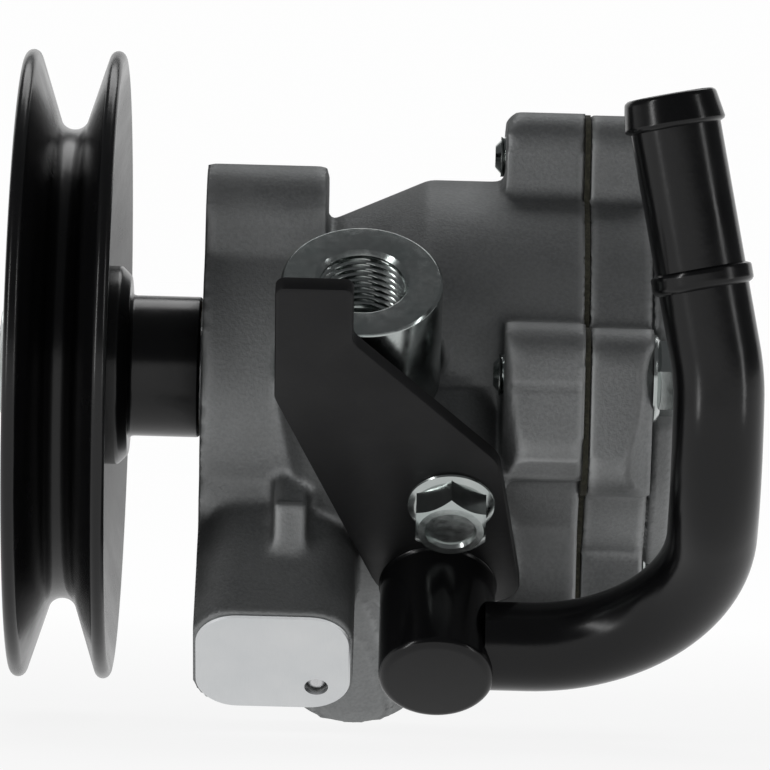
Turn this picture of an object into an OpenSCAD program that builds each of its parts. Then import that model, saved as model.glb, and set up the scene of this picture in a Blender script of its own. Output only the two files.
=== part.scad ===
// Vane power steering pump with a pressed belt pulley, a pressure union and a bent suction pipe.
// X runs along the shaft from the pulley to the rear cover, Z is up, and the pipe is on the minus Y side.
// The origin is on the shaft axis, in the front mounting face of the housing. Sizes are in millimetres.

/* [Pulley] */
// Outside diameter of the pulley
pulley_d = 125; // [116:1:134]
// Depth of the belt groove
groove_depth = 15.8; // [14:0.2:17]
// Included angle of the belt groove
groove_angle = 36; // [34:1:40]
// Half width of the flat at the groove's bottom
groove_flat = 2.2; // [1.8:0.1:2.6]
// Sheet thickness of the two pressed halves
sheet_t = 3; // [2.6:0.1:3.2]
// Distance from the middle of the groove to the mounting face
belt_line = 27.35; // [26.5:0.05:30]
// Diameter of the welded collar behind the web
collar_d = 39.5; // [36:0.5:44]
// Distance from the back of the collar to the mounting face
collar_gap = 15.1; // [13:0.1:17]
// Diameter of the hub sleeve
hub_d = 28; // [27:0.5:30]

/* [Shaft and bearing] */
// Diameter of the shaft in its bearing
shaft_d = 17; // [16.5:0.5:18]
// Outside diameter of the ball bearing
bearing_d = 40; // [39:1:42]
// Width of the ball bearing
bearing_w = 12; // [11:0.5:12]

/* [Housing] */
// Width of the front flange block over its corner lobes
flange_w = 66; // [65:1:72]
// Diameter of the round body of the flange block
flange_body_d = 79; // [76:1:79]
// Height of the flange block above the shaft axis
flange_top = 40; // [39:0.5:43]
// Depth of the flange block below the shaft axis
flange_bottom = 35; // [34:0.5:38]
// Thickness of the flange block along the shaft
flange_t = 23.4; // [22:0.2:24]
// Corner radius of the flange block
flange_round = 12; // [11:0.5:15]
// Diameter of the neck where the cone leaves the flange block
neck_d = 59.4; // [56:0.2:62]
// Where the cone reaches the barrel
barrel_start = 43.5; // [41.5:0.5:45]
// Diameter of the barrel
barrel_d = 77; // [76:0.5:80]
// Rear face of the housing
barrel_end = 74; // [73:0.5:77.5]
// Bolt circle of the threaded mounting holes
mount_pcd = 68; // [66:1:70]
// Diameter of a mounting hole
mount_hole_d = 6.8; // [6:0.2:8.4]
// Depth of a mounting hole
mount_hole_depth = 16; // [12:1:18]

/* [Bolt ears] */
// Bolt circle of the rear cover
ear_circle_d = 87; // [86:0.5:89]
// Width of an ear
ear_w = 30.6; // [28:0.2:32]
// Metal of an ear outside the bolt circle
ear_rim = 8.7; // [8:0.1:9.5]
// Shift of the near ear down towards the suction plate
ear_shift = 5; // [3:0.5:6]
// Reach of the lower ear towards the suction plate
lower_ear_reach = 25; // [22:0.5:26]
// Corner radius of an ear
ear_round = 8; // [5:0.5:8.5]
// Length of a housing ear along the shaft
ear_l = 15.5; // [13:0.5:17]

/* [Rear cover] */
// Thickness of the cover gasket
gasket_t = 1; // [0.6:0.1:1.4]
// Thickness of the rear cover at its ears
cover_t = 12.2; // [11:0.1:13]
// Width of an ear of the cover
cover_ear_w = 32.4; // [30:0.2:33]
// Shift of the cover's near ear down towards the suction pipe
cover_ear_shift = 6.7; // [5:0.1:7.4]
// Diameter of the raised middle of the cover
dome_d = 72; // [68:1:74]
// Height of the raised middle of the cover
dome_h = 4; // [2.5:0.5:5]

/* [Flow valve] */
// Rise of the valve axis towards the pipe side
valve_tilt = 47; // [45:1:49]
// Place of the valve axis along the shaft
valve_x = 30.8; // [30:0.1:31.2]
// Distance of the valve axis from the shaft axis
valve_offset = 30; // [29.5:0.5:31]
// Diameter of the valve boss
valve_boss_d = 31; // [29:0.5:31.5]
// Reach of the valve boss below the shaft axis
valve_boss_low = 56.5; // [54:0.5:58]
// Seat of the pressure union along the valve axis
union_seat = 26; // [24:0.5:28]
// Diameter of the pressure union
union_d = 31; // [28:0.5:31.5]
// Length of the pressure union outside its seat
union_l = 25.5; // [22:0.5:28]
// Core diameter of the union's thread
union_core_d = 16.4; // [14:0.2:17]
// Depth of the union's thread
union_thread_l = 15; // [12:1:16]

/* [Suction pipe] */
// Slope of the suction plate's normal below level
suction_tilt = 47; // [45:1:49]
// Height of the suction seat above the shaft axis
seat_reach = 47; // [47:0.5:49]
// Thickness of the suction plate
plate_t = 3; // [2.5:0.1:3.5]
// Place of the suction stub along the shaft
stub_x = 47; // [46.5:0.1:48]
// Diameter of the suction stub
stub_d = 22.4; // [21:0.2:23]
// Height of the suction stub above its plate
stub_l = 24.6; // [23:0.2:26]
// Outside diameter of the suction pipe
pipe_d = 17.2; // [15:0.2:17.4]
// Wall of the suction pipe and its stub
pipe_wall = 1.5; // [1:0.1:1.8]
// Straight run from the stub axis to the first bend
run_out = 17.5; // [16:0.1:20]
// Radius of the first bend
first_bend_r = 34; // [32:1:36]
// Radius of the bend that turns the pipe upright
upright_bend_r = 30; // [28:1:34]
// Lean of the upright end towards the pulley
nipple_lean = 11.5; // [8:0.5:14]
// Length of the straight upright end
nipple_l = 49.2; // [44:0.2:54]
// Diameter of the bead and the barb that hold a hose
bead_d = 19.3; // [18.8:0.1:20.4]

/* [Side lug] */
// Length of the side lug along the shaft
lug_l = 30.9; // [29:0.1:31.2]
// Width of the side lug
lug_w = 27.6; // [25:0.2:28]
// Reach of the machined pad from the shaft axis
lug_reach = 70.5; // [66:0.5:72]
// Corner radius of the side lug
lug_round = 8; // [6:0.5:10]

/* [Vane cartridge] */
// Width of the cam ring
cam_w = 18; // [17:0.5:18.5]
// Smallest diameter inside the cam ring
cam_small_d = 44; // [43:0.5:45]
// Rise of the cam from its smallest to its largest radius
cam_lift = 2.6; // [2.4:0.1:3]

/* [Hidden] */
$fn = 64;
vane_count = 10;
ear_count = 4;
mount_count = 4;
// Running clearance of turning and sliding pieces
run_gap = 0.05;
// Locating clearance of pieces that stay put
seat_gap = 0.05;
// Overlap that takes a cut past a face
past = 1;

// Pulley and hub
groove_half = groove_angle / 2;
groove_bottom_r = pulley_d / 2 - groove_depth;
web_front = -belt_line - sheet_t;
web_back = -belt_line + sheet_t;
spigot_r = 12;
collar_bevel = 2;
hub_bore_r = shaft_d / 2 - 0.5;
hub_back = -1;
key_w = 5;
key_h = 5;
key_l = 14;
key_back = 6;
key_x = -collar_gap - key_back;
key_bottom = hub_bore_r - key_h / 2;

// Nut and washer on the front of the shaft
washer_t = 2.5;
washer_r = 15;
nut_h = 8;
nut_flats = 21;
thread_r = 7;
thread_overhang = 1.7;
thread_bevel = 1;
nut_front = web_front - washer_t - nut_h;
shaft_front = nut_front - thread_overhang;

// Front bearing, its ring, the seal and the bush
shaft_r = shaft_d / 2;
bearing_r = bearing_d / 2;
ring_x = 2;
ring_t = 1.5;
ring_bite = 0.9;
ring_land = 2.6;
ring_opening = 9;
bearing_x = ring_x + ring_t;
bearing_end = bearing_x + bearing_w;
bearing_mid = bearing_x + bearing_w / 2;
pitch_r = (shaft_r + bearing_r) / 2;
ball_count = 8;
ball_share = 0.1467;
ball_r = ball_share * (bearing_d - shaft_d);
race_arc_r = ball_r + run_gap;
race_share = 0.78;
race_lip = race_share * ball_r;
cage_share = 0.42;
cage_half = cage_share * ball_r;
cage_rim = 0.7;
cage_w = 2 * (ball_r + cage_rim);
shoulder_r = shaft_r + 2;
shoulder_t = 1;
seal_land = 1.5;
seal_x = bearing_end + seal_land;
seal_w = 7;
seal_r = 15;
seal_case_t = 1.5;
seal_lip_t = 1.4;
bush_wall = 2;
bush_land = 2;
bush_x = seal_x + seal_w + bush_land;
bush_r = shaft_r + bush_wall;

// Cavity with the vane cartridge, from its floor to the cover
spigot_l = 3.5;
side_plate_t = 6;
cavity_r = 33;
cartridge_r = cavity_r - seat_gap;
cam_end = barrel_end - spigot_l;
cam_x = cam_end - cam_w;
cavity_x = cam_x - side_plate_t;
relief_l = 2;
bush_end = cavity_x - relief_l;
relief_r = bush_r + 1.5;
plate_hole_r = shaft_r + 0.5;
cam_small_r = cam_small_d / 2;
cam_points = 120;
rotor_r = cam_small_r - 0.25;
rotor_bore_r = shaft_r - 0.5;
vane_t = 1.9;
vane_h = 7.7;
vane_tip_r = rotor_r - 0.05;
slot_w = vane_t + 2 * run_gap;
slot_root_r = 1.5;
slot_root_at = vane_tip_r - vane_h - slot_root_r / 2;
vane_start = 180 / vane_count;
dowel_r = 2;
dowel_at = 28.8;
dowel_angles = [60, 240];
clip_t = 1.2;
clip_r = rotor_bore_r + 2;
clip_lip = 0.5;
clip_opening = 8;

// Rear cover and its bush
cover_x = barrel_end + gasket_t;
cover_end = cover_x + cover_t;
tail_r = shaft_r - 1.5;
rear_bush_r = tail_r + bush_wall;
rear_bush_floor = 2.5;
rear_bush_l = 11;
rear_bush_end = cover_end - rear_bush_floor;
rear_bush_x = rear_bush_end - rear_bush_l;
tail_end = rear_bush_end - 1;
clip_recess_r = clip_r + 1;
clip_recess_l = clip_t + 1;
barrel_r = barrel_d / 2;
ear_circle_r = ear_circle_d / 2;
ear_out_r = ear_circle_r + ear_rim;
ear_root_r = barrel_r - 14;
ear_corner_r = ear_out_r + 10;
ear_half = ear_w / 2;
ear_spans = [
    [-ear_half, ear_half], [-ear_half, ear_half],
    [ear_shift - ear_half, ear_shift + ear_half], [-lower_ear_reach, ear_half]
];
ear_bevel = 1.5;
cover_inset = 0.3;
cover_out_r = ear_out_r - cover_inset;
cover_bevel = 2;
cover_half = cover_ear_w / 2;
cover_spans = [
    [-cover_half, cover_half], [-cover_half, cover_half],
    [cover_ear_shift - cover_half, cover_ear_shift + cover_half], [-cover_half, cover_half]
];
dome_bevel = 1.5;
spot_clear = 0.8;

// Flange bolts of the cover and of the suction plate
bolt_r = 4;
bolt_hole_r = bolt_r + 0.1;
bolt_flange_r = 8.6;
bolt_flange_t = 2;
bolt_flats = 12.6;
bolt_head_h = 7;
bolt_dish_r = 4.6;
bolt_dish_depth = 1;
bolt_tip = 0.8;
bolt_overhang = 2;
cover_bolt_l = cover_t + gasket_t + ear_l + bolt_overhang;
suction_bolt_l = 16.5;

// Flow valve in its bore
valve_bore_r = 7.5;
valve_floor_t = 6;
valve_bore_floor = -valve_boss_low + valve_floor_t;
valve_boss_round = 5;
union_mouth = union_seat + union_l;
union_spigot_l = 16;
union_spigot_r = 9.5;
union_spigot_end = union_seat - union_spigot_l;
union_passage_r = 4;
union_bevel = 1.2;
union_pocket_r = max(union_d, valve_boss_d) / 2 + 0.8;
union_seal_r = 0.8;
union_seal_at = union_seat - 4;
union_seal_w = 2.2;
spool_gap = 0.3;
spool_l = 29.5;
spool_top = union_spigot_end - spool_gap;
spool_bottom = spool_top - spool_l;
spool_r = valve_bore_r - run_gap;
spool_waist_r = 5.6;
spool_land = 7;
spool_oil_r = 3;
spool_oil_l = 8;
spring_pocket_r = 5.4;
spring_pocket_l = 9;
spring_wire_r = 0.8;
spring_r = 4.2;
spring_turns = 8;
spring_steps = 16;
spring_sides = 8;
spring_top = spool_bottom + spring_pocket_l;

// Suction plate, from its seat outwards, and what is fixed to it, placed from the stub axis
stub_t = -7.1;
stub_at = [stub_x, stub_t];
stub_cap_t = 2;
stub_round = 1.8;
stub_clear = 0.3;
plate_top = seat_reach + plate_t;
seat_root = 22;
seat_r = 15;
bolt_seat_r = 10.5;
suction_bolt_at = stub_at + [2, 24.1];
inlet_r = 7;
inlet_floor = 28;
suction_seal_r = 1;
suction_seal_at = 9;
bolt_hole_floor = plate_top - suction_bolt_l - 1;
tab_left = 14.8;
tab_right = 29.5;
tab_end = 75.3;
tab_round = 2;
plate_shoulder = 61;
shoulder_round = 4;
plate_knee = [14.8, 44.9];
knee_round = 6;
plate_foot = stub_at + [-9.6, -7.4];
foot_round = 12;
plate_heel = stub_at + [16.6, -3.9];
heel_round = 5;
plate_cheek = stub_at + [11, 35.5];
cheek_round = 9;

// Suction pipe: bends are a hair wider than the straights, so each bend ends in a flat ring
pipe_r = pipe_d / 2;
pipe_bore_r = pipe_r - pipe_wall;
pipe_height = plate_top + stub_l - stub_cap_t - stub_clear - pipe_bore_r;
bend_ease = 0.03;
bend_lap = 0.8;
first_bend = 90;
upright_bend = suction_tilt;
link_l = 3;
lean_link_l = 1.5;
lean_bend_r = 45;
bead_r = bead_d / 2;
bead_root_r = pipe_r - pipe_wall / 2;
bead_round = 0.8;
barb_l = 6.3;
barb_tip = 0.15;
barb_land = 0.4;
hose_bead_l = 3.8;
hose_bead_drop = 37;
hose_bead_at = nipple_l - hose_bead_drop;

// Side lug with its machined pad and oil gallery
lug_root = 20;
lug_low = -21.5;
pad_rise = 0.6;
pad_inset = 0.5;
gallery_r = 2.3;
gallery_inset = 7;
gallery_x = lug_l - gallery_inset;
gallery_t = lug_low + gallery_inset;
gallery_depth = 10;
plug_sink = 0.4;

// Casting web between the side lug and the flange block
web_x = 14.8;
web_t = 6.4;
web_reach = 42;
web_crest = -20;
web_brow = -26;
web_root = -40;

VANES = [for (i = [1 : vane_count]) str("vane_", i)];

// Direction from one point to another
function toward(a, b) = (b - a) / norm(b - a);

// Half of the angle in a corner
function half_angle(a, p, b) = acos(toward(p, a) * toward(p, b)) / 2;

// Positive where an outline turns left at a corner
function turn(a, p, b) = (p[0] - a[0]) * (b[1] - p[1]) - (p[1] - a[1]) * (b[0] - p[0]);

// Centre of the round in a corner
function round_centre(a, p, b, r) =
    let (inward = toward(p, a) + toward(p, b))
    p + inward / norm(inward) * r / sin(half_angle(a, p, b));

// The two points where the round in a corner begins and ends
function round_ends(a, p, b, r) =
    let (back = r / tan(half_angle(a, p, b)))
    r == 0 ? [p] : [p + toward(p, a) * back, p + toward(p, b) * back];

// Radius inside the cam ring at an angle from its small axis
function cam_radius(a) = cam_small_r + cam_lift * (1 - cos(2 * a)) / 2;

// Outline with a true arc in each corner, its points given anticlockwise
module rounded_outline(points, radii) {
    n = len(points);
    corners = [for (i = [0 : n - 1]) [points[(i + n - 1) % n], points[i], points[(i + 1) % n], radii[i]]];
    difference() {
        union() {
            polygon([for (c = corners) each round_ends(c[0], c[1], c[2], c[3])]);
            for (c = corners)
                if (c[3] > 0 && turn(c[0], c[1], c[2]) > 0)
                    translate(round_centre(c[0], c[1], c[2], c[3])) circle(c[3]);
        }
        for (c = corners)
            if (c[3] > 0 && turn(c[0], c[1], c[2]) < 0)
                translate(round_centre(c[0], c[1], c[2], c[3])) circle(c[3]);
    }
}

// Solid turned around the shaft axis, from a profile of radius and place along the shaft
module turned() {
    rotate([90, 0, 90]) rotate_extrude() children();
}

// Solid along the shaft from x1 to x2, from an outline seen from the rear
module along_shaft(x1, x2) {
    translate([x1, 0, 0]) rotate([90, 0, 90]) linear_extrude(x2 - x1) children();
}

// Step of a turned profile, from radius r1 to r2 and from place x1 to x2
module step(r1, r2, x1, x2) {
    translate([r1, x1]) square([r2 - r1, x2 - x1]);
}

// Places a piece on the valve axis, which is then its Z axis
module on_valve() {
    rotate([90 - valve_tilt, 0, 0]) translate([valve_x, -valve_offset, 0]) children();
}

// Places a piece on the suction side: X along the shaft, Y up the plate, Z out of the plate
module on_suction() {
    rotate([90 + suction_tilt, 0, 0]) children();
}

// Turns children to each bolt ear
module at_ears() {
    for (i = [0 : ear_count - 1])
        rotate(360 / ear_count * i) children();
}

// Outline of the bolt ears, each reaching over its span to the two sides of its bolt
module ear_outline(spans, out_r) {
    for (i = [0 : ear_count - 1])
        rotate(360 / ear_count * i) rounded_outline(
            [
                [ear_root_r, spans[i][0]], [out_r, spans[i][0]],
                [out_r, spans[i][1]], [ear_root_r, spans[i][1]]
            ],
            [0, ear_round, ear_round, 0]);
}

// Outline of the bolt holes in the ears
module ear_holes() {
    at_ears() translate([ear_circle_r, 0]) circle(bolt_hole_r);
}

// Outline of the seats that are spot faced for the bolt heads
module spot_faces() {
    at_ears() translate([ear_circle_r, 0]) circle(bolt_flange_r + spot_clear);
}

// Outline shared by the gasket and the cover
module rear_outline() {
    circle(barrel_r - cover_inset);
    ear_outline(cover_spans, cover_out_r);
}

// Flange bolt with its seat at Z 0 and its head above
module flange_bolt(l) {
    difference() {
        union() {
            rotate_extrude() {
                step(0, bolt_r, -l + bolt_tip, bolt_flange_t);
                polygon([[0, -l], [bolt_r - bolt_tip, -l], [bolt_r, -l + bolt_tip], [0, -l + bolt_tip]]);
                polygon([
                    [0, 0], [bolt_flange_r, 0], [bolt_flange_r, bolt_flange_t / 2],
                    [bolt_flats / 2, bolt_flange_t], [0, bolt_flange_t]
                ]);
            }
            cylinder(d = bolt_flats / cos(30), h = bolt_head_h, $fn = 6);
        }
        translate([0, 0, bolt_head_h - bolt_dish_depth])
            cylinder(r = bolt_dish_r, h = bolt_dish_depth + past);
    }
}

// Housing casting with its flange block, cone, barrel and ears
module housing_body() {
    along_shaft(0, flange_t) {
        circle(d = flange_body_d);
        rounded_outline(
            [
                [-flange_w / 2, -flange_bottom], [flange_w / 2, -flange_bottom],
                [flange_w / 2, flange_top], [-flange_w / 2, flange_top]
            ],
            [flange_round, flange_round, flange_round, flange_round]);
    }
    turned() polygon([
        [0, flange_t - past], [neck_d / 2, flange_t - past], [neck_d / 2, flange_t],
        [barrel_r, barrel_start], [barrel_r, barrel_end], [0, barrel_end]
    ]);
    intersection() {
        along_shaft(barrel_end - ear_l, barrel_end) ear_outline(ear_spans, ear_out_r);
        turned() polygon([
            [0, barrel_end - ear_l], [ear_out_r - ear_bevel, barrel_end - ear_l],
            [ear_corner_r, barrel_end - ear_l + ear_bevel + ear_corner_r - ear_out_r],
            [ear_corner_r, barrel_end], [0, barrel_end]
        ]);
    }
}

// Boss for the flow valve, crossing below the shaft
module valve_boss() {
    on_valve() rotate_extrude() rounded_outline(
        [
            [0, -valve_boss_low], [valve_boss_d / 2, -valve_boss_low],
            [valve_boss_d / 2, union_seat], [0, union_seat]
        ],
        [0, valve_boss_round, 0, 0]);
}

// Raised seat under the suction plate
module suction_seat() {
    on_suction() translate([0, 0, seat_root]) linear_extrude(seat_reach - seat_root) {
        translate(stub_at) circle(seat_r);
        translate(suction_bolt_at) circle(bolt_seat_r);
        translate([stub_x - bolt_seat_r, stub_t]) square([2 * bolt_seat_r, suction_bolt_at[1] - stub_t]);
    }
}

// Lug with a machined pad, standing out beside the suction plate
module side_lug() {
    on_suction() {
        translate([0, 0, lug_root]) linear_extrude(lug_reach - pad_rise - lug_root)
            rounded_outline(
                [[0, lug_low], [lug_l, lug_low], [lug_l, lug_low + lug_w], [0, lug_low + lug_w]],
                [lug_round, lug_round, lug_round, lug_round]);
        translate([pad_inset, lug_low + pad_inset, lug_root])
            linear_extrude(lug_reach - lug_root)
                rounded_outline(
                    [
                        [0, 0], [lug_l - 2 * pad_inset, 0],
                        [lug_l - 2 * pad_inset, lug_w - 2 * pad_inset], [0, lug_w - 2 * pad_inset]
                    ],
                    [lug_round, lug_round, lug_round, lug_round]);
    }
}

// Web that ties the side lug to the flange block
module casting_web() {
    block_side = -flange_w / 2;
    along_shaft(web_x, web_x + web_t) polygon([
        [block_side + past, web_crest], [block_side, web_crest], [-web_reach, web_brow],
        [-web_reach, web_root], [block_side + past, web_root]
    ]);
}

// Outline of the suction plate
module plate_outline() {
    rounded_outline(
        [
            [tab_left, tab_end], plate_knee, plate_foot, plate_heel, plate_cheek,
            [tab_right, plate_shoulder], [tab_right, tab_end]
        ],
        [tab_round, knee_round, foot_round, heel_round, cheek_round, shoulder_round, tab_round]);
}

// Everything that is bored, drilled and milled in the housing
module housing_bores() {
    turned() {
        step(0, bearing_r, -past, bearing_end);
        step(0, bearing_r + ring_bite, ring_x, bearing_x);
        step(0, seal_r + 1, 0, seal_x);
        step(0, seal_r, 0, seal_x + seal_w);
        step(0, bush_r, 0, bush_end);
        step(0, relief_r, bush_end, cavity_x + past);
        step(0, cavity_r, cavity_x, barrel_end + past);
    }
    along_shaft(-past, mount_hole_depth)
        for (i = [0 : mount_count - 1])
            rotate(45 + 360 / mount_count * i) translate([mount_pcd / 2, 0]) circle(d = mount_hole_d);
    along_shaft(barrel_end - ear_l - bolt_overhang - past, barrel_end + past) ear_holes();
    on_valve() rotate_extrude() {
        step(0, valve_bore_r, valve_bore_floor, union_seat);
        step(0, union_spigot_r, union_spigot_end, union_seat + past);
        step(0, union_pocket_r, union_seat, union_mouth + past);
    }
    on_suction() {
        translate(stub_at) {
            translate([0, 0, inlet_floor]) cylinder(r = inlet_r, h = seat_reach - inlet_floor + past);
            translate([0, 0, seat_reach - 2 * suction_seal_r])
                cylinder(r = suction_seal_at + suction_seal_r, h = 2 * suction_seal_r + past);
        }
        translate(suction_bolt_at) translate([0, 0, bolt_hole_floor])
            cylinder(r = bolt_hole_r, h = seat_reach - bolt_hole_floor + past);
        translate([0, 0, seat_reach]) linear_extrude(lug_reach - seat_reach) plate_outline();
        translate([gallery_x, gallery_t, lug_reach - gallery_depth])
            cylinder(r = gallery_r, h = gallery_depth + past);
    }
}

module housing() {
    color("darkgray") difference() {
        union() {
            housing_body();
            valve_boss();
            suction_seat();
            side_lug();
            casting_web();
        }
        housing_bores();
    }
}

module rear_cover() {
    color("silver") difference() {
        union() {
            intersection() {
                along_shaft(cover_x, cover_end) rear_outline();
                turned() polygon([
                    [0, cover_x], [ear_corner_r, cover_x],
                    [ear_corner_r, cover_end - cover_bevel - ear_corner_r + cover_out_r],
                    [cover_out_r - cover_bevel, cover_end], [0, cover_end]
                ]);
            }
            turned() {
                step(0, cartridge_r, cam_end, cover_x + past);
                polygon([
                    [0, cover_end - past], [dome_d / 2, cover_end - past], [dome_d / 2, cover_end],
                    [dome_d / 2 - dome_bevel, cover_end + dome_h], [0, cover_end + dome_h]
                ]);
            }
        }
        turned() {
            step(0, clip_recess_r, cam_end - past, cam_end + clip_recess_l);
            step(0, rear_bush_r, cam_end, rear_bush_end);
        }
        along_shaft(cover_x - past, cover_end + past) ear_holes();
        along_shaft(cover_end, cover_end + dome_h + past) spot_faces();
        dowel_solids(cam_end - past, cam_end + spigot_l);
    }
}

module cover_gasket() {
    color("darkolivegreen") along_shaft(barrel_end, cover_x) difference() {
        rear_outline();
        circle(cavity_r);
        ear_holes();
    }
}

module cover_bolts() {
    color("lightgray") translate([cover_end, 0, 0]) rotate([90, 0, 90])
        at_ears() translate([ear_circle_r, 0, 0]) flange_bolt(cover_bolt_l);
}

// Profile of one pressed half, from the web at place 0 to the rounded rim behind it
module pressed_half() {
    along = [cos(groove_half), sin(groove_half)];
    behind = [-sin(groove_half), cos(groove_half)];
    foot = [groove_bottom_r, groove_flat];
    wall_l = (groove_depth - sheet_t / 2 * (1 - sin(groove_half))) / cos(groove_half);
    tip = foot + along * wall_l;
    heel_l = (sheet_t * (1 - cos(groove_half)) - groove_flat) / sin(groove_half);
    polygon([
        [spigot_r, 0], [groove_bottom_r, 0], foot, tip,
        tip + behind * sheet_t, foot + behind * sheet_t + along * heel_l, [spigot_r, sheet_t]
    ]);
    translate(tip + behind * sheet_t / 2) circle(d = sheet_t);
}

module pulley_rear_half() {
    color([0.08, 0.08, 0.08]) turned() translate([0, -belt_line]) pressed_half();
}

module pulley_front_half() {
    color([0.08, 0.08, 0.08]) turned() translate([0, -belt_line]) mirror([0, 1]) pressed_half();
}

// Key and its seat, let half into the shaft and half into the hub
module key_block(l) {
    translate([key_x - l / 2, -key_w / 2, key_bottom]) cube([l, key_w, key_h]);
}

module pulley_hub() {
    color([0.1, 0.1, 0.1]) difference() {
        turned() difference() {
            polygon([
                [0, web_front], [spigot_r, web_front], [spigot_r, web_back], [collar_d / 2, web_back],
                [collar_d / 2, -collar_gap - collar_bevel], [collar_d / 2 - collar_bevel, -collar_gap],
                [hub_d / 2, -collar_gap], [hub_d / 2, hub_back], [0, hub_back]
            ]);
            step(0, hub_bore_r, web_front - past, hub_back + past);
        }
        key_block(key_l);
    }
}

module pulley_nut() {
    color("gray") along_shaft(nut_front, nut_front + nut_h) difference() {
        circle(d = nut_flats / cos(30), $fn = 6);
        circle(thread_r);
    }
}

module pulley_washer() {
    color("gray") turned() step(thread_r, washer_r, web_front - washer_t, web_front);
}

module shaft_key() {
    color("dimgray") key_block(key_l);
}

module drive_shaft() {
    color("gainsboro") difference() {
        turned() {
            polygon([
                [0, shaft_front], [thread_r - thread_bevel, shaft_front],
                [thread_r, shaft_front + thread_bevel],
                [thread_r, web_front], [0, web_front]
            ]);
            step(0, hub_bore_r, web_front, hub_back);
            step(0, shaft_r, hub_back, cam_x);
            step(0, shoulder_r, bearing_end, bearing_end + shoulder_t);
            step(0, rotor_bore_r, cam_x, cam_end);
            step(0, tail_r, cam_end, tail_end);
            step(0, rotor_bore_r, cam_end + clip_t, cam_end + clip_t + clip_lip);
        }
        key_block(key_l);
    }
}

module bearing_outer_race() {
    color("silver") turned() difference() {
        step(pitch_r + race_lip, bearing_r, bearing_x, bearing_end);
        translate([pitch_r, bearing_mid]) circle(race_arc_r);
    }
}

module bearing_inner_race() {
    color("silver") turned() difference() {
        step(shaft_r, pitch_r - race_lip, bearing_x, bearing_end);
        translate([pitch_r, bearing_mid]) circle(race_arc_r);
    }
}

// Places a ball or its pocket at each place around the bearing
module at_balls() {
    for (i = [0 : ball_count - 1])
        rotate([360 / ball_count * i, 0, 0]) translate([bearing_mid, 0, pitch_r]) children();
}

module bearing_balls() {
    color("whitesmoke") at_balls() sphere(ball_r);
}

module bearing_cage() {
    color("goldenrod") difference() {
        turned() step(
            pitch_r - cage_half, pitch_r + cage_half, bearing_mid - cage_w / 2, bearing_mid + cage_w / 2);
        at_balls() sphere(ball_r + run_gap);
    }
}

module bearing_ring() {
    color("dimgray") difference() {
        turned() step(bearing_r - ring_land, bearing_r + ring_bite - seat_gap, ring_x, bearing_x);
        translate([0, -ring_opening / 2, -2 * bearing_r]) cube([2 * bearing_x, ring_opening, 2 * bearing_r]);
    }
}

module shaft_seal() {
    color("saddlebrown") turned() {
        step(seal_r - seal_case_t, seal_r, seal_x, seal_x + seal_w);
        step(shaft_r + run_gap, seal_r, seal_x, seal_x + seal_case_t);
        step(shaft_r + run_gap, shaft_r + run_gap + seal_lip_t, seal_x, seal_x + seal_w - seal_case_t);
    }
}

module shaft_bush() {
    color("peru") turned() step(shaft_r + run_gap, bush_r, bush_x, bush_end);
}

module rear_bush() {
    color("peru") turned() step(tail_r + run_gap, rear_bush_r, rear_bush_x, rear_bush_end);
}

// Pins that line up the cartridge, from x1 to x2
module dowel_solids(x1, x2) {
    along_shaft(x1, x2)
        for (a = dowel_angles)
            rotate(a) translate([dowel_at, 0]) circle(dowel_r);
}

module dowel_pins() {
    color("lightgray") dowel_solids(cavity_x + side_plate_t / 2, cam_end + spigot_l - 0.5);
}

module side_plate() {
    color("lightslategray") difference() {
        turned() step(plate_hole_r, cartridge_r, cavity_x, cam_x);
        dowel_solids(cavity_x + side_plate_t / 2, cam_x + past);
    }
}

module cam_ring() {
    color("lightslategray") difference() {
        along_shaft(cam_x, cam_end) difference() {
            circle(cartridge_r);
            polygon([
                for (i = [0 : cam_points - 1])
                    let (a = 360 / cam_points * i) cam_radius(a) * [cos(a), sin(a)]
            ]);
        }
        dowel_solids(cam_x - past, cam_end + past);
    }
}

// Turns children to each vane slot
module at_vane(i) {
    rotate(vane_start + 360 / vane_count * i) children();
}

module rotor() {
    color("gray") along_shaft(cam_x + run_gap, cam_end - run_gap) difference() {
        circle(rotor_r);
        circle(rotor_bore_r);
        for (i = [0 : vane_count - 1])
            at_vane(i) {
                translate([slot_root_at, 0]) circle(slot_root_r);
                translate([slot_root_at, -slot_w / 2]) square([rotor_r, slot_w]);
            }
    }
}

module rotor_clip() {
    color("dimgray") along_shaft(cam_end, cam_end + clip_t) difference() {
        circle(clip_r);
        circle(tail_r);
        translate([-clip_opening / 2, -2 * clip_r]) square([clip_opening, 2 * clip_r]);
    }
}

// One vane, drawn back into its slot
module vane(i) {
    color("lightgray") along_shaft(cam_x + 2 * run_gap, cam_end - 2 * run_gap)
        at_vane(i) translate([vane_tip_r - vane_h, -vane_t / 2]) square([vane_h, vane_t]);
}

module outlet_union() {
    color("lightsteelblue") on_valve() rotate_extrude() difference() {
        polygon([
            [0, union_spigot_end], [union_spigot_r, union_spigot_end], [union_spigot_r, union_seat],
            [union_d / 2, union_seat], [union_d / 2, union_mouth - union_bevel],
            [union_d / 2 - union_bevel, union_mouth], [0, union_mouth]
        ]);
        step(0, union_passage_r, union_spigot_end - past, union_mouth);
        step(0, union_core_d / 2, union_mouth - union_thread_l, union_mouth + past);
        step(union_spigot_r - 2 * union_seal_r, union_spigot_r + past,
            union_seal_at - union_seal_w / 2, union_seal_at + union_seal_w / 2);
    }
}

module union_seal() {
    color([0.12, 0.12, 0.12]) on_valve() rotate_extrude()
        translate([union_spigot_r - union_seal_r, union_seal_at]) circle(union_seal_r);
}

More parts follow.
